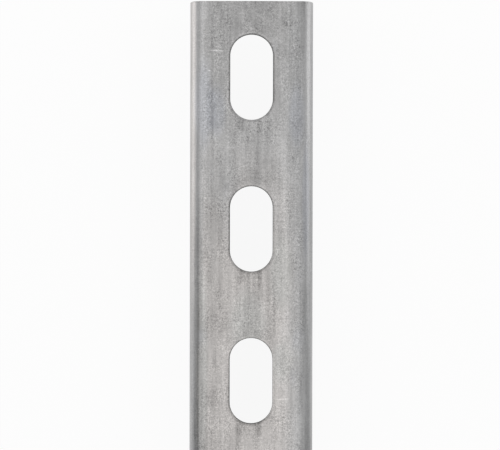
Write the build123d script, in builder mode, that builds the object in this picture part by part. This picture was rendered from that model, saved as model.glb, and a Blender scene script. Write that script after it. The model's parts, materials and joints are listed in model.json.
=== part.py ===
"""Slotted mounting rail: a length of cold-formed galvanised strut channel.

One strip of sheet steel is roll-formed into a C: a web, two flanges, and two
returns whose lips turn back up into the channel. Bolt slots are punched along
the middle of the web, from the outside, so their outer edges are rolled over.

The rail lies along Y on its two returns, with the web on top (+Z). The origin
is the middle of its footprint, on the plane that it rests on. Sizes are in mm.
"""

import os
from math import isclose

from build123d import *

# Stock, as it is sold
rail_length = 304.8
rail_width = 41.3
rail_height = 41.3
wall = 2.66

# Returns, and the lips that a channel nut grips: they leave a 22.2 mm mouth
return_width = 9.55
lip_depth = 7.1

# Inside radii of the bends, and the rounding of the strip's slit edges
corner_bend_inside = 1.4
lip_bend_inside = 0.8
slit_edge_radius = 0.5

# Bolt slots in the web, and the least metal left beyond the last of them
slot_length = 28.6
slot_width = 14.3
slot_pitch = 50.8
least_end_land = 10.0
punch_rollover = 0.6

# Broken edge all round each saw-cut end
end_break = 0.25

# Outside radii follow from the sheet's thickness
corner_bend_outside = corner_bend_inside + wall
lip_bend_outside = lip_bend_inside + wall

# Slots are centred along the rail, as many as fit
slotted_span = rail_length - 2 * least_end_land - slot_length
slot_count = int(slotted_span // slot_pitch) + 1


def at_lip_tip(corner):
    """Tells whether a corner of the section is on the slit edge of the strip."""
    return isclose(corner.Y, lip_depth, abs_tol=1e-6)


def rail_section():
    """Draws the rolled C, as the strip's outer skin thickened inwards by the wall."""
    half_width = rail_width / 2
    half_mouth = half_width - return_width
    skin_corners = [
        (-half_mouth, lip_depth),
        (-half_mouth, 0),
        (-half_width, 0),
        (-half_width, rail_height),
        (half_width, rail_height),
        (half_width, 0),
        (half_mouth, 0),
        (half_mouth, lip_depth),
    ]
    bend_radii = [
        lip_bend_outside,
        corner_bend_outside,
        corner_bend_outside,
        corner_bend_outside,
        corner_bend_outside,
        lip_bend_outside,
    ]
    with BuildSketch(Plane.XZ) as section:
        with BuildLine():
            skin = FilletPolyline(*skin_corners, radius=bend_radii)
            offset(skin, amount=wall, side=Side.RIGHT)
        make_face()
        lip_tips = section.vertices().filter_by(at_lip_tip)
        fillet(lip_tips, radius=min(slit_edge_radius, 0.45 * wall))
    return section.sketch


def mounting_rail():
    """Runs the section to length, breaks its cut ends and punches the bolt slots."""
    section = rail_section()
    with BuildPart() as rail:
        extrude(section, amount=rail_length / 2, both=True)

        cut_ends = rail.faces().filter_by(Axis.Y)
        chamfer(cut_ends.edges(), length=end_break)

        with BuildSketch(Plane.XY.offset(rail_height)):
            with GridLocations(0, slot_pitch, 1, slot_count):
                SlotOverall(slot_length, slot_width, rotation=90)
        extrude(amount=-wall, mode=Mode.SUBTRACT)

        web_outside = rail.faces().sort_by(Axis.Z)[-1]
        punched_edges = web_outside.inner_wires().edges()
        fillet(punched_edges, radius=min(punch_rollover, 0.3 * wall))
    return rail.part


os.makedirs("parts", exist_ok=True)
rail_part = mounting_rail()
rail_part.label = "rail"
export_step(rail_part, "parts/rail.step")
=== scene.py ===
"""Models a length of slotted, roll-formed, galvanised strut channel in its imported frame.

The rail lies along Y on its two returns, with the slotted web on top. Its sizes are in metres, and
those of the marks on it are in mm.
"""

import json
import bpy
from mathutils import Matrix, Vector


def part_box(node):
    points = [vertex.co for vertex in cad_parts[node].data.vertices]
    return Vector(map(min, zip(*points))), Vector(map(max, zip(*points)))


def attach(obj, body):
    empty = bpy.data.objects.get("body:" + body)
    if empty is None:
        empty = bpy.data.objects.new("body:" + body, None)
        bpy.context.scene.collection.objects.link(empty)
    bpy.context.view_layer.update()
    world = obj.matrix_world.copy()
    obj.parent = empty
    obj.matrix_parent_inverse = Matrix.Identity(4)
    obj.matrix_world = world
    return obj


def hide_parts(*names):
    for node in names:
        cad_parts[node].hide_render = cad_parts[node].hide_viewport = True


bl_info = {
    "name": "Slotted Mounting Rail",
    "version": (1, 0, 0),
    "blender": (4, 5, 0),
    "location": "3D View > Sidebar > Rail",
    "description": "Adds a slotted strut channel with its finish, and the studio that shows it",
    "category": "Object",
}

from math import cos, pi, radians, sin

import bmesh
import bpy
from mathutils import Vector

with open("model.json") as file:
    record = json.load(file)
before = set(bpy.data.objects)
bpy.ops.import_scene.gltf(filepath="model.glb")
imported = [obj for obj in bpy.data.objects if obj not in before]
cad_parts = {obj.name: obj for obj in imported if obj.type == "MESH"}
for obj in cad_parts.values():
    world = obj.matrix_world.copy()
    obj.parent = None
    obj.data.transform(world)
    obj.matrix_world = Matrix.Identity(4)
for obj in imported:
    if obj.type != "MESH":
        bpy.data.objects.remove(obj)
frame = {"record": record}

NODE = "rail"
PIECE = "slotted_rail"
MM = 0.001

LOW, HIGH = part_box(NODE)
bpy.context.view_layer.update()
MOUNTS = {mount["name"]: mount for mount in frame["record"]["mounts"]}
SLOT = MOUNTS["inner_slots"]["dims"]
SLOTTED_SPAN = MOUNTS["outer_slots"]["dims"]["spacing_y_mm"] * MM

# How finely the mesh follows the form
BEND_STEPS = 12
TIP_STEPS = 4
LIP_COLUMNS = 2
RETURN_COLUMNS = 2
FLANGE_COLUMNS = 12
WEB_COLUMNS = 16
SHOULDER_STEPS = 5
STRAIGHT_STEPS = 22
CELL_ROWS = STRAIGHT_STEPS + 2 * SHOULDER_STEPS
CELL_RINGS = 8
RING_CROWDING = 1.6
ROLLOVER_STEPS = 6

# How many steps of a slot's rollover kept their zinc, from the web down
ZINC_STEPS = 4

# How near points are welded, and the angle at which an edge turns sharp
WELD_DISTANCE = 0.002 * MM
SHARP_ANGLE = radians(35)

# The view, in pixels of the photograph's frame: its size, the slots' pitch, and the place of the
# rail's middle and end
FRAME_WIDTH, FRAME_HEIGHT = 500, 450
PITCH_PIXELS = 151.95
RAIL_COLUMN = 251.3
END_ROW = 1.0

# The camera's distance from the web in metres, and its turn about its own axis
CAMERA_DISTANCE = 0.6
CAMERA_ROLL = radians(0.12)

# Noise in the zinc: how wide, long and high a spot is in mm, its seed, its detail and its share
STREAKS = [
    ((5, 160, 5), 2, 1, 0.34),
    ((1.7, 50, 1.7), 23, 2, 0.45),
    ((0.6, 13, 0.6), 4, 2, 0.3),
]
MOTTLE = [
    ((4.5, 11, 4.5), 19, 3, 0.55),
    ((1.1, 2.2, 1.1), 6, 3, 0.22),
]
GRAIN = [
    ((0.36, 0.45, 0.36), 7, 1, 0.95),
    ((0.75, 0.85, 0.75), 10, 1, 0.4),
    ((4, 0.4, 4), 15, 1, 0.2),
]

# Noise in the same terms that makes the grain stronger or weaker
GRAIN_PATCHES = [((3.5, 8, 3.5), 16, 2, 1.4)]

# Noise in the same terms by which the zinc's tint drifts
DRIFT = [((10, 26, 10), 8, 2, 1)]

# Noise in the same terms that breaks up the smudges at the slots, and the share that stays even
PATCHINESS = [((1.2, 3, 1.2), 9, 2, 0.6)]
EVEN_SHARE = 0.5

# Noise in the sheared steel and on the sawn ends, in the same terms
SCORES = [((0.3, 0.3, 3), 11, 2, 0.4)]
TORN = [((0.4, 0.4, 0.4), 12, 4, 0.3)]
SAW_CUTS = [((6, 6, 0.12), 13, 2, 0.25)]
CHATTER = [((3, 3, 1), 14, 2, 0.2)]

# Height of the relief that each finish's noise stands for
ZINC_RELIEF = 0.003 * MM
SHEARED_RELIEF = 0.028 * MM
SAWN_RELIEF = 0.048 * MM

# Roughness of the bare steel
SHEARED_ROUGHNESS, SAWN_ROUGHNESS = 0.6, 0.38

# How far the roughness of each finish follows its noise
TORN_ROUGHNESS, CHATTER_ROUGHNESS = 0.33, 0.5
MOTTLE_ROUGHNESS, STREAK_SHINE = 0.07, 0.05

# Marks and painted light show on the outside of the web and its bends only. They fade between two
# depths below the web, which lie deeper where the bends fall away from it. Widths and depths in mm.
MARKS_FADE = (1, 2.5)
BENDS_FALL = (18, 18.4)
BEND_DEPTH = 3

# How much less mottled and grainy the strip is past the web's flat, and the stretch over which it
# turns so, in mm from the flat's edge
CALMER = 0.6
CALMER_STRETCH = (-1, 1.8)

# Stripes that run along the web and its bends: middle, half width and fade in mm, and the change of
# tone at the rail's middle and at its far end. On the web's flat the narrow ones are streaks in the
# zinc; the broad one over its right half and those along and beside the bends are painted
# highlights and painted shade.
# Painted highlights and painted shade along the bends, with the zinc's streaks on the web
STRIPES_AND_PAINTED_BEND_LIGHT = [
    (-20.1, 0.4, 0.6, 0, 0.17),
    (-18.9, 0.1, 0.5, 0, -0.12),
    (-18.3, 0.4, 0.9, -0.28, 0.14),
    (-17.7, 0.2, 0.4, -0.04, -0.05),
    (-17.1, 0.4, 1.0, -0.28, 0),
    (-16.1, 0.7, 0.9, 0, 0.16),
    (-14.8, 0.5, 0.4, 0, 0.05),
    (-13.2, 0.1, 0.5, -0.03, -0.08),
    (-1.8, 0.3, 0.6, -0.04, -0.04),
    (1.7, 0.4, 0.6, -0.03, -0.03),
    (3.9, 0.6, 0.8, 0.05, 0.05),
    (6.7, 0.7, 0.7, 0.05, 0.05),
    (9.5, 5.5, 3, 0.07, -0.03),
    (10.2, 1.8, 0.8, 0.08, 0.08),
    (12.6, 0.5, 0.7, -0.06, 0),
    (15.8, 1, 3, -0.11, -0.05),
    (16.9, 0.3, 0.6, -0.08, -0.05),
    (18.3, 0.15, 0.6, 0.1, 0.14),
    (19, 0.6, 0.9, -0.13, -0.05),
    (19.9, 0.2, 0.6, -0.07, 0.06),
]

# Stretch of the rail in mm over which the stripes change to their far tone, which paints the light
# falling off along the rail
FAR_STRETCH = (20, 130)

# Smudges at every slot: place beside its end, half width and half length in mm, and change of tone
SLOT_SMUDGES = [
    (-3.8, -1.3, 2.1, 3.8, -0.42),
    (2.7, -1.7, 1.3, 4.2, -0.34),
    (0, 2.5, 4, 5, -0.12),
]

# Painted shade in the rim of a slot, as middle, half width and fade in shares of the rollover's
# depth, and the stretch of the rail in mm over which the painted shade grows to full strength
RIM_BAND = (0.7, 0.4, 0.25)
RIM_STRETCH = (0, 140)

# Painted highlights on stretches of the slots' rims, where the painted shade is lifted and the
# sheared
# steel is lighter: place, half width and half length in mm
RIM_HIGHLIGHTS = [
    (0, 112, 9, 6),
    (7.5, 25.4, 3, 22),
]

# Painted shade and painted highlights on stretches of the rims: place, half width and half length
# in mm, and change of tone
RIM_SHADE_AND_HIGHLIGHTS = [
    (-7.6, 127, 2, 14, -0.3),
    (7.6, 127, 2, 14, -0.27),
    (-7.6, 76.2, 2, 14, -0.4),
    (7.6, 70, 2, 8, 0.25),
    (7.6, 25.4, 2, 15, 0.6),
    (-7.6, 20, 2, 8, -0.2),
]

# Single marks on the web: place, half width and half length in mm, turn in degrees, change of tone
MARKS = [
    (-11.6, 135.8, 3.0, 0.34, -4, 0.55),
    (-11.3, 137.0, 1.6, 0.3, -4, 0.3),
    (-14.1, 129.1, 0.5, 0.32, 0, 0.5),
    (8.5, 69.4, 1.5, 0.3, 0, 0.25),
    (10.6, 19.3, 2.8, 0.32, 4, 0.3),
    (11.4, 144.9, 0.9, 1.6, 35, -0.25),
    (8.7, 136.0, 0.8, 0.7, 0, -0.18),
    (-13.2, 20.5, 2.5, 5, 0, -0.1),
    (-8.1, 90.6, 1.2, 1.8, -20, -0.1),
    (9.1, 149.0, 1.2, 4, 0, 0.1),
    (12.4, 147.5, 0.9, 5, 0, 0.08),
    (4.0, 147.0, 0.5, 3.5, 0, 0.12),
    (-3.0, 147.5, 0.9, 4, 0, 0.12),
    (2.1, 104.0, 0.5, 9, 0, -0.12),
    (-3.2, 50.0, 0.5, 8, 0, 0.1),
    (11.0, 46.5, 0.6, 5, 0, 0.08),
    (-11.9, 32.0, 0.4, 7, 0, -0.1),
]

# Broad stains and rubbed places, in the same terms
STAINS = [
    (-13.4, 116, 1.6, 7.5, 0, -0.04),
    (7.9, 113, 3.3, 9, 0, 0.08),
    (-7.6, 100, 1.3, 4, 0, -0.08),
    (-17.5, 97, 2.5, 8, 0, -0.06),
    (4.2, 91.5, 5.5, 5, 0, -0.08),
    (-13.2, 77, 6, 17, 0, -0.08),
    (18.9, 66, 1.8, 14, 0, 0.08),
    (7.3, 65, 2.3, 9, 0, 0.07),
    (14.6, 62, 3.2, 12, 0, -0.05),
    (-18.5, 51, 1.5, 8, 0, 0.08),
    (-9.5, 47, 4.5, 8, -10, -0.09),
    (-14.5, 42, 2.2, 5, 0, -0.08),
    (14.6, 37, 3, 9, 0, 0.05),
    (-10.8, 33, 5.5, 7, 0, 0.1),
    (-14, 26, 2.8, 7, 0, 0.09),
    (2.5, 9.5, 1.4, 3.2, 0, -0.1),
    (18.6, 4, 2.8, 9, 0, -0.08),
    (-19, 4, 1.6, 9, 0, -0.08),
]

# Bluish patches on the web: place, half width and half length in mm
COOL_PATCHES = [
    (-16, 118, 4, 19),
    (-11.7, 115.5, 4, 11),
    (-13.2, 116, 1.8, 8),
    (15.2, 114, 3.6, 14),
    (18.2, 86, 1.6, 26),
]

# How bluish a patch is, and the drift at which the zinc turns bluish elsewhere
COOL_SHARE = 0.8
COOL_DRIFT = (0.3, 0.8)

# Where the web turns brownish, in mm: along it, with how far that wanders, and in from its left and
# right bends. The far end keeps a share of the brown.
WARM_ALONG = (110, 55)
WARM_WANDER = 30
WARM_LEFT = (-19, -15.2)
WARM_RIGHT = (18.5, 8.5)
FAR_WARMTH = 0.25

# Where the left bend is brownish too, in mm, and how much
WARM_BEND = (-18.2, -19)
WARM_BEND_ALONG = (20, 90)
BEND_WARMTH = 0.8

# Dull, yellowish patches on the web: place, half width and half length in mm
DULL_PATCHES = [
    (10, 62, 5, 17),
    (-1, 44, 8, 15),
    (10, 31.5, 5, 9),
    (-16.4, 30, 2.5, 45),
]

# Share of a soft-edged oval's radius at full strength, and its reach up and down in mm
OVAL_CORE = 0.4
OVAL_REACH = 1000

# The break below a slot's burnish: how much of its width it opens by at once, and over what height
BREAK_SHARE = 0.6
BREAK_HEIGHT = 0.2 * MM

# Widths of a burr's crest and of its foot, in heights of the burr
BURR_CREST, BURR_FOOT = 0.5, 2

# Faces of the mesh by how the metal was left there
ZINC, SHEARED, SAWN = range(3)

# Sockets of the Mix node that take two colours, and the one that gives their mixture
FIRST_COLOUR, SECOND_COLOUR, MIXED_COLOUR = 6, 7, 2

WHITE = (1, 1, 1, 1)


class RailSizes(bpy.types.PropertyGroup):
    """The rail's section, its slots and its edges."""

    length: bpy.props.FloatProperty(
        name="Length", description="Length of the rail",
        default=HIGH.y - LOW.y, unit="LENGTH",
    )
    width: bpy.props.FloatProperty(
        name="Width", description="Width over the two flanges",
        default=HIGH.x - LOW.x, unit="LENGTH",
    )
    height: bpy.props.FloatProperty(
        name="Height", description="Height from the returns to the web",
        default=HIGH.z - LOW.z, unit="LENGTH",
    )
    wall: bpy.props.FloatProperty(
        name="Wall", description="Thickness of the strip", default=2.66 * MM, unit="LENGTH"
    )
    return_width: bpy.props.FloatProperty(
        name="Return", description="Width of a return, from flange to mouth",
        default=9.55 * MM, unit="LENGTH",
    )
    lip_depth: bpy.props.FloatProperty(
        name="Lip", description="Depth of a lip, from the returns to its tip",
        default=7.1 * MM, unit="LENGTH",
    )
    corner_bend_inside: bpy.props.FloatProperty(
        name="Corner bend", description="Inside radius of a corner bend",
        default=1.4 * MM, unit="LENGTH",
    )
    lip_bend_inside: bpy.props.FloatProperty(
        name="Lip bend", description="Inside radius of a lip's bend",
        default=0.8 * MM, unit="LENGTH",
    )
    slit_edge_radius: bpy.props.FloatProperty(
        name="Slit edge", description="Rounding of the strip's slit edges",
        default=0.5 * MM, unit="LENGTH",
    )
    slot_length: bpy.props.FloatProperty(
        name="Slot length", description="Length of a slot over its round ends",
        default=SLOT["slot_length_mm"] * MM, unit="LENGTH",
    )
    slot_width: bpy.props.FloatProperty(
        name="Slot width", description="Width of a slot",
        default=2 * SLOT["hole_r_mm"] * MM, unit="LENGTH",
    )
    slot_pitch: bpy.props.FloatProperty(
        name="Slot pitch", description="Distance between the centres of two slots",
        default=SLOT["spacing_y_mm"] * MM, unit="LENGTH",
    )
    rollover_width: bpy.props.FloatProperty(
        name="Rollover width", description="How far from a slot the punch drew the surface down",
        default=1.0 * MM, unit="LENGTH",
    )
    rollover_depth: bpy.props.FloatProperty(
        name="Rollover depth", description="How far the punch drew the surface down",
        default=0.45 * MM, unit="LENGTH",
    )
    burnish_depth: bpy.props.FloatProperty(
        name="Burnish depth", description="Depth below the web at which the slug broke free",
        default=1.1 * MM, unit="LENGTH",
    )
    breakout: bpy.props.FloatProperty(
        name="Breakout", description="How much wider a slot is where the slug broke out",
        default=0.12 * MM, unit="LENGTH",
    )
    burr: bpy.props.FloatProperty(
        name="Burr", description="Height of the burr left inside the channel",
        default=0.08 * MM, unit="LENGTH",
    )
    end_break: bpy.props.FloatProperty(
        name="End break", description="Width of the broken edge at a sawn end",
        default=0.25 * MM, unit="LENGTH",
    )


class RailFinish(bpy.types.PropertyGroup):
    """Colours of the metal, and how strongly its marks show."""

    plain_zinc: bpy.props.FloatVectorProperty(
        name="Plain zinc", description="Colour of most of the zinc", subtype="COLOR",
        default=(0.44, 0.44, 0.4415), min=0.0, max=1.0,
    )
    cool_zinc: bpy.props.FloatVectorProperty(
        name="Cool zinc", description="Colour of the zinc where it is bluish", subtype="COLOR",
        default=(0.434, 0.44, 0.462), min=0.0, max=1.0,
    )
    warm_zinc: bpy.props.FloatVectorProperty(
        name="Warm zinc", description="Colour of the zinc where it is brownish", subtype="COLOR",
        default=(0.458, 0.44, 0.429), min=0.0, max=1.0,
    )
    dull_zinc: bpy.props.FloatVectorProperty(
        name="Dull zinc", description="Colour of the zinc where it is dull and yellowish",
        subtype="COLOR", default=(0.446, 0.44, 0.4295), min=0.0, max=1.0,
    )
    # The sheared steel's own colour, kept dark to paint the shade on the slots' walls as well
    sheared: bpy.props.FloatVectorProperty(
        name="Sheared steel", description="Colour of the slots' walls and the strip's slit edges",
        subtype="COLOR", default=(0.16, 0.157, 0.153), min=0.0, max=1.0,
    )
    # Painted highlight: colour of the sheared steel where the slots' rims catch the light
    painted_highlight: bpy.props.FloatVectorProperty(
        name="Rubbed steel", description="Colour of the sheared steel where it was rubbed bright",
        subtype="COLOR", default=(0.5, 0.495, 0.49), min=0.0, max=1.0,
    )
    sawn: bpy.props.FloatVectorProperty(
        name="Sawn steel", description="Colour of the sawn ends", subtype="COLOR",
        default=(0.52, 0.51, 0.5), min=0.0, max=1.0,
    )
    roughness: bpy.props.FloatProperty(
        name="Roughness", description="Roughness of the zinc",
        default=0.42, min=0.0, max=1.0, subtype="FACTOR",
    )
    streaks: bpy.props.FloatProperty(
        name="Streaks", description="Strength of the streaks along the rail",
        default=0.46, min=0.0, max=1.0, subtype="FACTOR",
    )
    mottle: bpy.props.FloatProperty(
        name="Mottle", description="Strength of the blotches in the zinc",
        default=0.55, min=0.0, max=1.0, subtype="FACTOR",
    )
    grain: bpy.props.FloatProperty(
        name="Grain", description="Strength of the fine grain",
        default=0.53, min=0.0, max=1.0, subtype="FACTOR",
    )
    # Strength of the painted shade in the slots' rims
    painted_rim_shade: bpy.props.FloatProperty(
        name="Rim", description="How much darker the zinc is where it was drawn into a slot",
        default=0.2, min=0.0, max=1.0, subtype="FACTOR",
    )


class Studio(bpy.types.PropertyGroup):
    """The floor and the sky."""

    floor: bpy.props.FloatVectorProperty(
        name="Floor", description="Colour of the floor", subtype="COLOR",
        default=(0.9, 0.9, 0.9), min=0.0, max=1.0,
    )
    floor_side: bpy.props.FloatProperty(
        name="Floor side", description="Side of the square floor", default=6.0, unit="LENGTH"
    )
    white_floor: bpy.props.FloatProperty(
        name="White floor", description="How nearly the camera sees the floor as plain white",
        default=0.92, min=0.0, max=1.0, subtype="FACTOR",
    )
    floor_reflection: bpy.props.FloatProperty(
        name="Floor reflection",
        description="How nearly the metal reflects the floor as plain white",
        default=0.9, min=0.0, max=1.0, subtype="FACTOR",
    )
    sky: bpy.props.FloatProperty(
        name="Sky", description="Strength of the light from all round", default=0.48
    )
    backdrop: bpy.props.FloatProperty(
        name="Backdrop", description="Brightness of the sky as the camera sees it", default=0.968
    )


def clockwise(direction, turn=pi / 2):
    """A section direction turned clockwise."""
    return Vector((
        direction.x * cos(turn) + direction.y * sin(turn),
        direction.y * cos(turn) - direction.x * sin(turn),
    ))


def half_skin(sizes):
    """Stations along the left half of the strip's outer skin, from the lip's tip to the web.

    A station is a place in the section and the outward direction there.
    """
    lip_bend = sizes.lip_bend_inside + sizes.wall
    corner_bend = sizes.corner_bend_inside + sizes.wall
    runs = [
        (sizes.lip_depth - sizes.slit_edge_radius - lip_bend, LIP_COLUMNS, lip_bend),
        (sizes.return_width - lip_bend - corner_bend, RETURN_COLUMNS, corner_bend),
        (sizes.height - 2 * corner_bend, FLANGE_COLUMNS, corner_bend),
    ]
    half_mouth = sizes.width / 2 - sizes.return_width
    place = Vector((-half_mouth, sizes.lip_depth - sizes.slit_edge_radius))
    outward = Vector((1, 0))
    stations = [(place, outward)]
    for run, columns, bend in runs:
        start = place
        for column in range(1, columns + 1):
            place = start + clockwise(outward) * run * column / columns
            stations.append((place, outward))
        centre = place - outward * bend
        start = outward
        for step in range(1, BEND_STEPS + 1):
            outward = clockwise(start, pi / 2 * step / BEND_STEPS)
            place = centre + outward * bend
            stations.append((place, outward))
    return stations


def lip_tip(sizes):
    """Stations over the tip of the left lip, from its outer skin to its inner skin."""
    radius = sizes.slit_edge_radius
    half_mouth = sizes.width / 2 - sizes.return_width
    height = sizes.lip_depth - radius
    stations = []
    roundings = [(-half_mouth - radius, 0), (-half_mouth - sizes.wall + radius, pi / 2)]
    for centre_x, start in roundings:
        for step in range(TIP_STEPS + 1):
            angle = start + pi / 2 * step / TIP_STEPS
            outward = Vector((cos(angle), sin(angle)))
            stations.append((Vector((centre_x, height)) + outward * radius, outward))
    return stations


def web_edge(sizes):
    """Half the width of the web's flat, between its two bends."""
    return sizes.width / 2 - sizes.corner_bend_inside - sizes.wall


def web_line(sizes):
    """Stations across the flat of the web's outer skin."""
    edge = web_edge(sizes)
    return [
        (Vector((edge * (2 * column / WEB_COLUMNS - 1), sizes.height)), Vector((0, 1)))
        for column in range(WEB_COLUMNS + 1)
    ]


def inner(stations, wall):
    """The same stations on the strip's inner skin, facing into the channel."""
    return [(place - outward * wall, -outward) for place, outward in stations]


def mirrored(stations):
    """The same stations on the other half of the rail."""
    flip = Vector((-1, 1))
    return [(place * flip, outward * flip) for place, outward in stations]


def shrunk(stations, amount):
    """The stations' places, moved back into the metal."""
    return [place - outward * amount for place, outward in stations]


def slot_ring(sizes, growth):
    """Points round a slot at the origin, grown outwards, in step with cell_border()."""
    radius = sizes.slot_width / 2 + growth
    straight = (sizes.slot_length - sizes.slot_width) / 2
    turn = pi / (WEB_COLUMNS + 2 * SHOULDER_STEPS)
    half = []
    for step in range(-SHOULDER_STEPS, 0):
        half.append((radius * cos(turn * step), radius * sin(turn * step) - straight))
    for step in range(STRAIGHT_STEPS):
        half.append((radius, straight * (2 * step / STRAIGHT_STEPS - 1)))
    for step in range(SHOULDER_STEPS + WEB_COLUMNS):
        half.append((radius * cos(turn * step), radius * sin(turn * step) + straight))
    return half + [(-x, -y) for x, y in half]


def cell_border(edge, low, high):
    """Points round one slot's share of the web, anticlockwise from its lower right corner."""
    across = [edge * (2 * column / WEB_COLUMNS - 1) for column in range(WEB_COLUMNS)]
    along = [low + (high - low) * row / CELL_ROWS for row in range(CELL_ROWS)]
    right = [(edge, y) for y in along]
    top = [(-x, high) for x in across]
    left = [(-edge, low + high - y) for y in along]
    bottom = [(x, low) for x in across]
    return right + top + left + bottom


class SheetMesh:
    """Grids of quads, each with its finish, that are welded into one closed mesh."""

    def __init__(self):
        self.points = []
        self.faces = []
        self.finishes = []

    def grid(self, rows, finish, closed=False):
        """Joins rows of points by quads. A closed grid also joins each row's end to its start."""
        first = len(self.points)
        width = len(rows[0])
        for points in rows:
            self.points.extend(points)
        for row in range(len(rows) - 1):
            for column in range(width if closed else width - 1):
                here = first + row * width + column
                beside = first + row * width + (column + 1) % width
                self.faces.append((here, beside, beside + width, here + width))
                self.finishes.append(finish)

    def polygon(self, points, finish):
        """Adds one face."""
        first = len(self.points)
        self.points.extend(points)
        self.faces.append(tuple(range(first, first + len(points))))
        self.finishes.append(finish)

    def object(self, name, materials):
        """Welds the grids, turns their faces outwards and makes an object of them."""
        mesh = bpy.data.meshes.new(name)
        mesh.from_pydata(self.points, [], self.faces)
        for material in materials:
            mesh.materials.append(material)
        mesh.polygons.foreach_set("material_index", self.finishes)
        sheet = bmesh.new()
        sheet.from_mesh(mesh)
        bmesh.ops.remove_doubles(sheet, verts=sheet.verts, dist=WELD_DISTANCE)
        bmesh.ops.recalc_face_normals(sheet, faces=sheet.faces)
        open_edges = [edge for edge in sheet.edges if not edge.is_manifold]
        if open_edges:
            raise RuntimeError(f"{name} isn't closed: {len(open_edges)} open edges")
        sheet.to_mesh(mesh)
        sheet.free()
        mesh.shade_smooth()
        mesh.set_sharp_from_angle(angle=SHARP_ANGLE)
        piece = bpy.data.objects.new(name, mesh)
        bpy.context.scene.collection.objects.link(piece)
        return piece


def cell_limits(sizes):
    """The stretch of web round each slot as (middle of the slot, low end, high end)."""
    count = round(SLOTTED_SPAN / sizes.slot_pitch) + 1
    end = sizes.length / 2 - sizes.end_break
    middles = [(i - (count - 1) / 2) * sizes.slot_pitch for i in range(count)]
    borders = [-end] + [(a + b) / 2 for a, b in zip(middles, middles[1:])] + [end]
    return list(zip(middles, borders, borders[1:]))


def sweep_rows(sizes):
    """Where each row of points lies along the rail, and how far the broken ends shrink it."""
    end = sizes.length / 2
    rows = [(-end, sizes.end_break)]
    for _, low, high in cell_limits(sizes):
        rows += [(low + (high - low) * row / CELL_ROWS, 0) for row in range(CELL_ROWS)]
    return rows + [(end - sizes.end_break, 0), (end, sizes.end_break)]


def add_strip(sheet, sizes):
    """The bends, flanges, returns and lips, run the whole length of the rail."""
    skin = half_skin(sizes)
    lines = [(skin, ZINC), (inner(skin, sizes.wall), ZINC), (lip_tip(sizes), SHEARED)]
    for line, finish in lines:
        for side in (line, mirrored(line)):
            rows = [
                [(p.x, along, p.y) for p in shrunk(side, shrink)]
                for along, shrink in sweep_rows(sizes)
            ]
            sheet.grid(rows, finish)


def add_web_cells(sheet, sizes):
    """The flat of the web, in rings that open out from each slot to its share of the web's edge."""
    edge = web_edge(sizes)
    skins = [
        (sizes.height, sizes.rollover_width),
        (sizes.height - sizes.wall, sizes.breakout + BURR_FOOT * sizes.burr),
    ]
    for middle, low, high in cell_limits(sizes):
        border = [Vector(point) for point in cell_border(edge, low, high)]
        for z, growth in skins:
            slot = [Vector((x, y + middle)) for x, y in slot_ring(sizes, growth)]
            rows = []
            for ring in range(CELL_RINGS + 1):
                share = (ring / CELL_RINGS) ** RING_CROWDING
                rows.append([(*a.lerp(b, share), z) for a, b in zip(slot, border)])
            sheet.grid(rows, ZINC, closed=True)


def slot_wall(sizes):
    """The wall of a slot from the outside in, in its two finishes.

    Each finish has its profile, as (growth of the slot's outline, height).
    """
    top, bottom = sizes.height, sizes.height - sizes.wall
    rollover = []
    for step in range(ROLLOVER_STEPS + 1):
        angle = pi / 2 * (1 - step / ROLLOVER_STEPS)
        growth = sizes.rollover_width * (1 - cos(angle))
        rollover.append((growth, top - sizes.rollover_depth * (1 - sin(angle))))
    sheared = [
        rollover[-1],
        (0, top - sizes.burnish_depth),
        (BREAK_SHARE * sizes.breakout, top - sizes.burnish_depth - BREAK_HEIGHT),
        (sizes.breakout, bottom - sizes.burr),
        (sizes.breakout + BURR_CREST * sizes.burr, bottom - sizes.burr),
        (sizes.breakout + BURR_FOOT * sizes.burr, bottom),
    ]
    return (rollover[:ZINC_STEPS + 1], ZINC), (rollover[ZINC_STEPS:-1] + sheared, SHEARED)


def add_slot_walls(sheet, sizes):
    """The punched wall of each slot, with its rolled-over edge, its break and its burr."""
    for middle, _, _ in cell_limits(sizes):
        for profile, finish in slot_wall(sizes):
            rows = [
                [(x, y + middle, z) for x, y in slot_ring(sizes, growth)]
                for growth, z in profile
            ]
            sheet.grid(rows, finish, closed=True)


def add_ends(sheet, sizes):
    """The broken edge across the web at each end, and the sawn faces."""
    skin = half_skin(sizes)
    web = web_line(sizes)
    tip = lip_tip(sizes)
    half = sizes.length / 2
    shrink = sizes.end_break
    for end in (-1, 1):
        for line in (web, inner(web, sizes.wall)):
            rows = [
                [(place.x, end * (half - shrink), place.y) for place, _ in line],
                [(p.x, end * half, p.y) for p in shrunk(line, shrink)],
            ]
            sheet.grid(rows, ZINC)
        for line in (skin, mirrored(skin), web):
            rows = [
                [(p.x, end * half, p.y) for p in shrunk(side, shrink)]
                for side in (line, inner(line, sizes.wall))
            ]
            sheet.grid(rows, SAWN)
        for line in (tip, mirrored(tip)):
            sheet.polygon([(p.x, end * half, p.y) for p in shrunk(line, shrink)], SAWN)


class Value:
    """A shader socket. Sums on it add the Math nodes that work them out."""

    def __init__(self, shader, socket):
        self.shader = shader
        self.socket = socket

    def output(self, name):
        """Another output of the same node."""
        return Value(self.shader, self.socket.node.outputs[name])

    def math(self, operation, *inputs):
        """A Math node of that operation."""
        return self.shader.node("Math", {"operation": operation}, dict(enumerate(inputs)))

    def __add__(self, other):
        return self.math("ADD", self, other)

    def __sub__(self, other):
        return self.math("SUBTRACT", self, other)

    def __rsub__(self, other):
        return self.math("SUBTRACT", other, self)

    def __mul__(self, other):
        return self.math("MULTIPLY", self, other)

    def __lt__(self, other):
        return self.math("LESS_THAN", self, other)

    def __mod__(self, other):
        return self.math("FLOORED_MODULO", self, other)

    def __abs__(self):
        return self.math("ABSOLUTE", self)

    __radd__ = __add__
    __rmul__ = __mul__


def opaque(colour):
    """A colour with an alpha of 1, or a socket as it is."""
    return colour if isinstance(colour, Value) else (*colour, 1)


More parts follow.
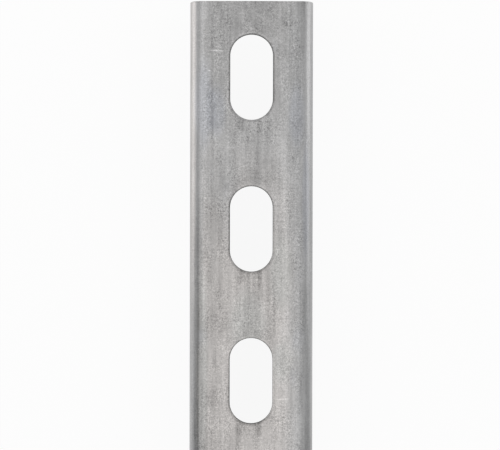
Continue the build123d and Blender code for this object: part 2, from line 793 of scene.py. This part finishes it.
class Shader:
    """The nodes of a material or a world, from none."""

    def __init__(self, owner):
        owner.use_nodes = True
        self.tree = owner.node_tree
        self.tree.nodes.clear()

    def node(self, kind, settings=None, inputs=None, output=0):
        """Adds a node of a type, sets it up, and gives its sockets their values or links."""
        node = self.tree.nodes.new("ShaderNode" + kind)
        for name, setting in (settings or {}).items():
            setattr(node, name, setting)
        for name, value in (inputs or {}).items():
            if isinstance(value, Value):
                self.tree.links.new(value.socket, node.inputs[name])
            else:
                node.inputs[name].default_value = value
        return Value(self, node.outputs[output]) if node.outputs else None

    def place(self):
        """Where a point is in the rail's frame, in mm."""
        return self.scaled(self.node("TexCoord", output="Object"), 1 / MM)

    def scaled(self, vector, factor):
        """A vector or a colour, times a number."""
        inputs = {0: vector, "Scale": factor}
        return self.node("VectorMath", {"operation": "SCALE"}, inputs, "Vector")

    def split(self, vector):
        """A vector's three parts."""
        parts = self.node("SeparateXYZ", inputs={0: vector})
        return parts, parts.output("Y"), parts.output("Z")

    def noise(self, place, size, seed, detail):
        """Noise from about -1 to 1, with spots of that size in mm across, along and up the rail."""
        spots = self.node(
            "VectorMath", {"operation": "MULTIPLY_ADD"},
            {0: place, 1: [1 / side for side in size], 2: (seed, 2 * seed, 3 * seed)}, "Vector",
        )
        return self.node("TexNoise", None, {"Vector": spots, "Scale": 1, "Detail": detail}) * 2 - 1

    def layers(self, place, noises):
        """Noises added up by their shares."""
        total = 0
        for size, seed, detail, share in noises:
            total = total + self.noise(place, size, seed, detail) * share
        return total

    def step(self, value, low, high):
        """0 at low and 1 at high, with a smooth change between. Either may be the greater."""
        limits = {"Value": value, "From Min": low, "From Max": high}
        return self.node("MapRange", {"interpolation_type": "SMOOTHSTEP"}, limits)

    def band(self, value, middle, half_width, fade):
        """1 in a band round the middle, and 0 further than the fade outside it."""
        return 1 - self.step(abs(value - middle), half_width, half_width + fade)

    def patch(self, place, x, y, half_width, half_length, turn=0):
        """1 inside a soft-edged oval on the web, and 0 outside. Sizes in mm, turn in degrees."""
        local = self.node(
            "Mapping", {"vector_type": "TEXTURE"},
            {
                "Vector": place, "Location": (x, y, 0), "Rotation": (0, 0, radians(turn)),
                "Scale": (half_width, half_length, OVAL_REACH),
            },
        )
        away = self.node("VectorMath", {"operation": "LENGTH"}, {0: local}, "Value")
        return 1 - self.step(away, OVAL_CORE, 1)

    def patches(self, place, spots):
        """Soft-edged ovals on the web, added up."""
        total = 0
        for spot in spots:
            total = total + self.patch(place, *spot)
        return total

    def changes(self, place, marks):
        """The changes of tone of soft-edged ovals on the web, added up."""
        total = 0
        for *spot, change in marks:
            total = total + self.patch(place, *spot) * change
        return total

    def mix(self, share, first, second):
        """A colour between two."""
        inputs = {"Factor": share, FIRST_COLOUR: opaque(first), SECOND_COLOUR: opaque(second)}
        return self.node("Mix", {"data_type": "RGBA"}, inputs, MIXED_COLOUR)

    def bumped(self, height, distance):
        """The surface's normal, with a height over it of that distance at 1."""
        return self.node("Bump", None, {"Height": height, "Distance": distance, "Strength": 1})

    def metal(self, colour, roughness, normal):
        """Ends the material in a metal."""
        surface = self.node(
            "BsdfPrincipled", None,
            {"Base Color": colour, "Roughness": roughness, "Metallic": 1, "Normal": normal},
        )
        self.node("OutputMaterial", None, {"Surface": surface})


def zinc_material(sizes, finish):
    """Mill-galvanised strip: streaked along the rail, mottled and stained, with painted highlights
    and painted shade along its bends and in its slots' rims.
    """
    material = bpy.data.materials.new("galvanised_zinc")
    shader = Shader(material)
    place = shader.place()
    across, along, up = shader.split(place)

    # How uneven the strip is by itself
    edge = web_edge(sizes) / MM
    calm = 1 - CALMER * shader.step(abs(across) - edge, *CALMER_STRETCH)
    streaks = shader.layers(place, STREAKS)
    mottle = shader.layers(place, MOTTLE) * calm
    grain = shader.layers(place, GRAIN) * calm * (1 + shader.layers(place, GRAIN_PATCHES))
    tone = 1 + finish.streaks * streaks + finish.mottle * mottle + finish.grain * grain

    # What the rolls, the punch and handling left on its outside, and painted highlights and painted
    # shade along the bends and in the slots' rims
    below = sizes.height / MM - up
    lowered = BEND_DEPTH * shader.step(abs(across), *BENDS_FALL)
    outside = 1 - shader.step(below - lowered, *MARKS_FADE)
    marks = stripes_and_painted_bend_light(shader, across, along) + slot_marks(shader, sizes, place, across, along)
    marks = marks + shader.changes(place, MARKS + STAINS)
    # Painted shade in the slots' rims, growing towards the far end and lifted by painted highlights
    shade = finish.painted_rim_shade * shader.step(along, *RIM_STRETCH) * (1 - shader.patches(place, RIM_HIGHLIGHTS))
    shade = shade - shader.changes(place, RIM_SHADE_AND_HIGHLIGHTS)
    tone = tone + outside * marks - slot_rim(shader, sizes, across, below) * shade

    colour = shader.scaled(zinc_colour(shader, finish, place, across, along), tone)
    roughness = finish.roughness + MOTTLE_ROUGHNESS * mottle - STREAK_SHINE * streaks
    shader.metal(colour, roughness, shader.bumped(streaks + grain, ZINC_RELIEF))
    return material


def zinc_colour(shader, finish, place, across, along):
    """Grey at the bends and the far end, brownish elsewhere, with yellowish and bluish patches."""
    drift = shader.layers(place, DRIFT)
    warm = FAR_WARMTH + (1 - FAR_WARMTH) * shader.step(along + WARM_WANDER * drift, *WARM_ALONG)
    warm = warm * shader.step(across, *WARM_LEFT) * shader.step(across, *WARM_RIGHT)
    bend = BEND_WARMTH * shader.step(across, *WARM_BEND) * shader.step(along, *WARM_BEND_ALONG)
    colour = shader.mix(warm + bend, finish.plain_zinc, finish.warm_zinc)
    colour = shader.mix(shader.patches(place, DULL_PATCHES), colour, finish.dull_zinc)
    bloom = shader.step(drift, *COOL_DRIFT) + COOL_SHARE * shader.patches(place, COOL_PATCHES)
    return shader.mix(bloom, colour, finish.cool_zinc)


def stripes_and_painted_bend_light(shader, across, along):
    """Streaks along the web, and painted highlights and painted shade on it and its bends, as a
    change of tone.
    """
    far = shader.step(along, *FAR_STRETCH)
    tone = 0
    for middle, half_width, fade, near_tone, far_tone in STRIPES_AND_PAINTED_BEND_LIGHT:
        change = near_tone if near_tone == far_tone else near_tone + (far_tone - near_tone) * far
        tone = tone + shader.band(across, middle, half_width, fade) * change
    return tone


def slot_marks(shader, sizes, place, across, along):
    """Dark drag marks at the ends of each slot, as a change of tone."""
    pitch = sizes.slot_pitch / MM
    end = sizes.slot_length / MM / 2
    from_slot = shader.node("CombineXYZ", None, {"X": across, "Y": along % pitch - pitch / 2})
    tone = 0
    for x, y, half_width, half_length, change in SLOT_SMUDGES:
        side = end if y > 0 else -end
        tone = tone + change * shader.patch(from_slot, x, y + side, half_width, half_length)
    return tone * (EVEN_SHARE + shader.layers(place, PATCHINESS))


def slot_rim(shader, sizes, across, below):
    """1 where the punch drew the web down into a slot, and 0 elsewhere: where painted rim shade
    goes.
    """
    slot_side = (sizes.slot_width / 2 + sizes.rollover_width) / MM
    return shader.band(below * (MM / sizes.rollover_depth), *RIM_BAND) * (abs(across) < slot_side)


def sheared_material(finish):
    """Steel left bare by the punch and the slitting rolls, scored the way that they went, with
    painted highlights on the slots' rims.
    """
    material = bpy.data.materials.new("sheared_steel")
    shader = Shader(material)
    place = shader.place()
    scores = shader.layers(place, SCORES)
    torn = shader.layers(place, TORN)
    # Painted highlights on stretches of the slots' rims
    steel = shader.mix(shader.patches(place, RIM_HIGHLIGHTS), finish.sheared, finish.painted_highlight)
    colour = shader.scaled(steel, 1 + scores + torn)
    roughness = SHEARED_ROUGHNESS + TORN_ROUGHNESS * torn
    shader.metal(colour, roughness, shader.bumped(scores + torn, SHEARED_RELIEF))
    return material


def sawn_material(finish):
    """The sawn ends, with the fine marks that the blade left across them."""
    material = bpy.data.materials.new("sawn_steel")
    shader = Shader(material)
    place = shader.place()
    cuts = shader.layers(place, SAW_CUTS)
    chatter = shader.layers(place, CHATTER)
    colour = shader.scaled(finish.sawn, 1 + cuts + chatter)
    roughness = SAWN_ROUGHNESS + CHATTER_ROUGHNESS * chatter
    shader.metal(colour, roughness, shader.bumped(cuts, SAWN_RELIEF))
    return material


class RAIL_OT_add_rail(bpy.types.Operator):
    """Models the rail in place of its plain CAD solid."""

    bl_idname = "rail.add_rail"
    bl_label = "Add Rail"

    def execute(self, context):
        """Builds the rail's mesh and its three finishes."""
        sizes = context.scene.rail_sizes
        sheet = SheetMesh()
        add_strip(sheet, sizes)
        add_web_cells(sheet, sizes)
        add_slot_walls(sheet, sizes)
        add_ends(sheet, sizes)
        finish = context.scene.rail_finish
        materials = [zinc_material(sizes, finish), sheared_material(finish), sawn_material(finish)]
        rail = sheet.object(PIECE, materials)
        flats = rail.modifiers.new("flat faces", "WEIGHTED_NORMAL")
        flats.keep_sharp = True
        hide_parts(NODE)
        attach(rail, "root")
        return {"FINISHED"}


class RAIL_OT_add_studio(bpy.types.Operator):
    """Lays the floor, hangs the lamps and sets up the camera over the rail."""

    bl_idname = "rail.add_studio"
    bl_label = "Add Studio"

    def execute(self, context):
        """Builds the floor, the light and the camera."""
        scene = context.scene
        add_floor(scene.rail_studio)
        add_sky(scene, scene.rail_studio)
        add_lamps()
        add_camera(scene, scene.rail_sizes)
        scene.view_settings.view_transform = "Standard"
        return {"FINISHED"}


def white_share(shader, camera, glossy):
    """How much of a surface is plain white: to the camera, and in the metal's reflections."""
    camera_rays = shader.node("LightPath", output="Is Camera Ray")
    return camera * camera_rays + glossy * camera_rays.output("Is Glossy Ray")


def add_floor(studio):
    """A pale floor. What little of it isn't plain white keeps the rail's shadow."""
    side = studio.floor_side / 2
    mesh = bpy.data.meshes.new("floor")
    corners = [(-side, -side, 0), (side, -side, 0), (side, side, 0), (-side, side, 0)]
    mesh.from_pydata(corners, [], [(0, 1, 2, 3)])
    floor = bpy.data.objects.new("floor", mesh)
    bpy.context.scene.collection.objects.link(floor)
    material = bpy.data.materials.new("floor")
    mesh.materials.append(material)
    shader = Shader(material)
    share = white_share(shader, studio.white_floor, studio.floor_reflection)
    bare = shader.node("BsdfDiffuse", None, {"Color": opaque(studio.floor)})
    white = shader.node("Emission", None, {"Color": WHITE})
    surface = shader.node("MixShader", None, {"Fac": share, 1: bare, 2: white})
    shader.node("OutputMaterial", None, {"Surface": surface})


def add_sky(scene, studio):
    """Even light from all round. The camera sees it as bright as it sees the floor."""
    scene.world = bpy.data.worlds.new("soft light")
    shader = Shader(scene.world)
    camera_rays = shader.node("LightPath", output="Is Camera Ray")
    strength = studio.sky + (studio.backdrop - studio.sky) * camera_rays
    sky = shader.node("Background", None, {"Color": WHITE, "Strength": strength})
    shader.node("OutputWorld", None, {"Surface": sky})


def add_lamp(name, place, aim, size, power):
    """A rectangular soft lamp that faces a point."""
    light = bpy.data.lights.new(name, "AREA")
    light.shape = "RECTANGLE"
    light.size, light.size_y = size
    light.energy = power
    lamp = bpy.data.objects.new(name, light)
    bpy.context.scene.collection.objects.link(lamp)
    lamp.location = place
    lamp.rotation_euler = (Vector(aim) - Vector(place)).to_track_quat("-Z", "Y").to_euler()


def add_lamps():
    """A large lamp over the near end, and weak ones behind the far end and on each side of it.

    Places and sizes are in metres, and powers in watts.
    """
    add_lamp("overhead", place=(0, -0.63, 1.3), aim=(0, 0, 0), size=(2.0, 2.1), power=9.2)
    add_lamp("behind", place=(0, 0.85, 0.75), aim=(0, 0.1, 0.04), size=(1.4, 0.8), power=1.3)
    add_lamp("left", place=(-0.5, 0.3, 0.13), aim=(0, 0.3, 0.02), size=(0.5, 0.25), power=0.65)
    add_lamp("right", place=(0.5, 0.3, 0.17), aim=(0, 0.3, 0.02), size=(0.5, 0.26), power=0.6)


def add_camera(scene, sizes):
    """Looks straight down on the far half of the rail, as the photograph does."""
    data = bpy.data.cameras.new("camera")
    camera = bpy.data.objects.new("camera", data)
    scene.collection.objects.link(camera)
    pixel = sizes.slot_pitch / PITCH_PIXELS
    data.lens = data.sensor_width * CAMERA_DISTANCE / (FRAME_WIDTH * pixel)
    camera.location = (
        (FRAME_WIDTH / 2 - RAIL_COLUMN) * pixel,
        sizes.length / 2 - (FRAME_HEIGHT / 2 - END_ROW) * pixel,
        sizes.height + CAMERA_DISTANCE,
    )
    camera.rotation_euler.z = CAMERA_ROLL
    scene.camera = camera


PROPERTY_GROUPS = {"rail_sizes": RailSizes, "rail_finish": RailFinish, "rail_studio": Studio}
OPERATORS = (RAIL_OT_add_rail, RAIL_OT_add_studio)


class RAIL_PT_sidebar(bpy.types.Panel):
    """The operators, and below them every size, colour and strength."""

    bl_idname = "RAIL_PT_sidebar"
    bl_label = "Mounting Rail"
    bl_space_type = "VIEW_3D"
    bl_region_type = "UI"
    bl_category = "Rail"

    def draw(self, context):
        """Lists the operators and the properties of each group."""
        for operator in OPERATORS:
            self.layout.operator(operator.bl_idname)
        for name, group in PROPERTY_GROUPS.items():
            box = self.layout.box()
            for prop in group.__annotations__:
                box.prop(getattr(context.scene, name), prop)


CLASSES = (*PROPERTY_GROUPS.values(), *OPERATORS, RAIL_PT_sidebar)


def register():
    """Makes the operators, the panel and the scene's sizes and colours known to Blender."""
    for cls in CLASSES:
        bpy.utils.register_class(cls)
    for name, group in PROPERTY_GROUPS.items():
        setattr(bpy.types.Scene, name, bpy.props.PointerProperty(type=group))


def unregister():
    """Takes them out again."""
    for name in PROPERTY_GROUPS:
        delattr(bpy.types.Scene, name)
    for cls in reversed(CLASSES):
        bpy.utils.unregister_class(cls)


def main():
    """Builds the rail and its studio."""
    register()
    bpy.ops.rail.add_rail()
    bpy.ops.rail.add_studio()


if __name__ == "__main__":
    main()
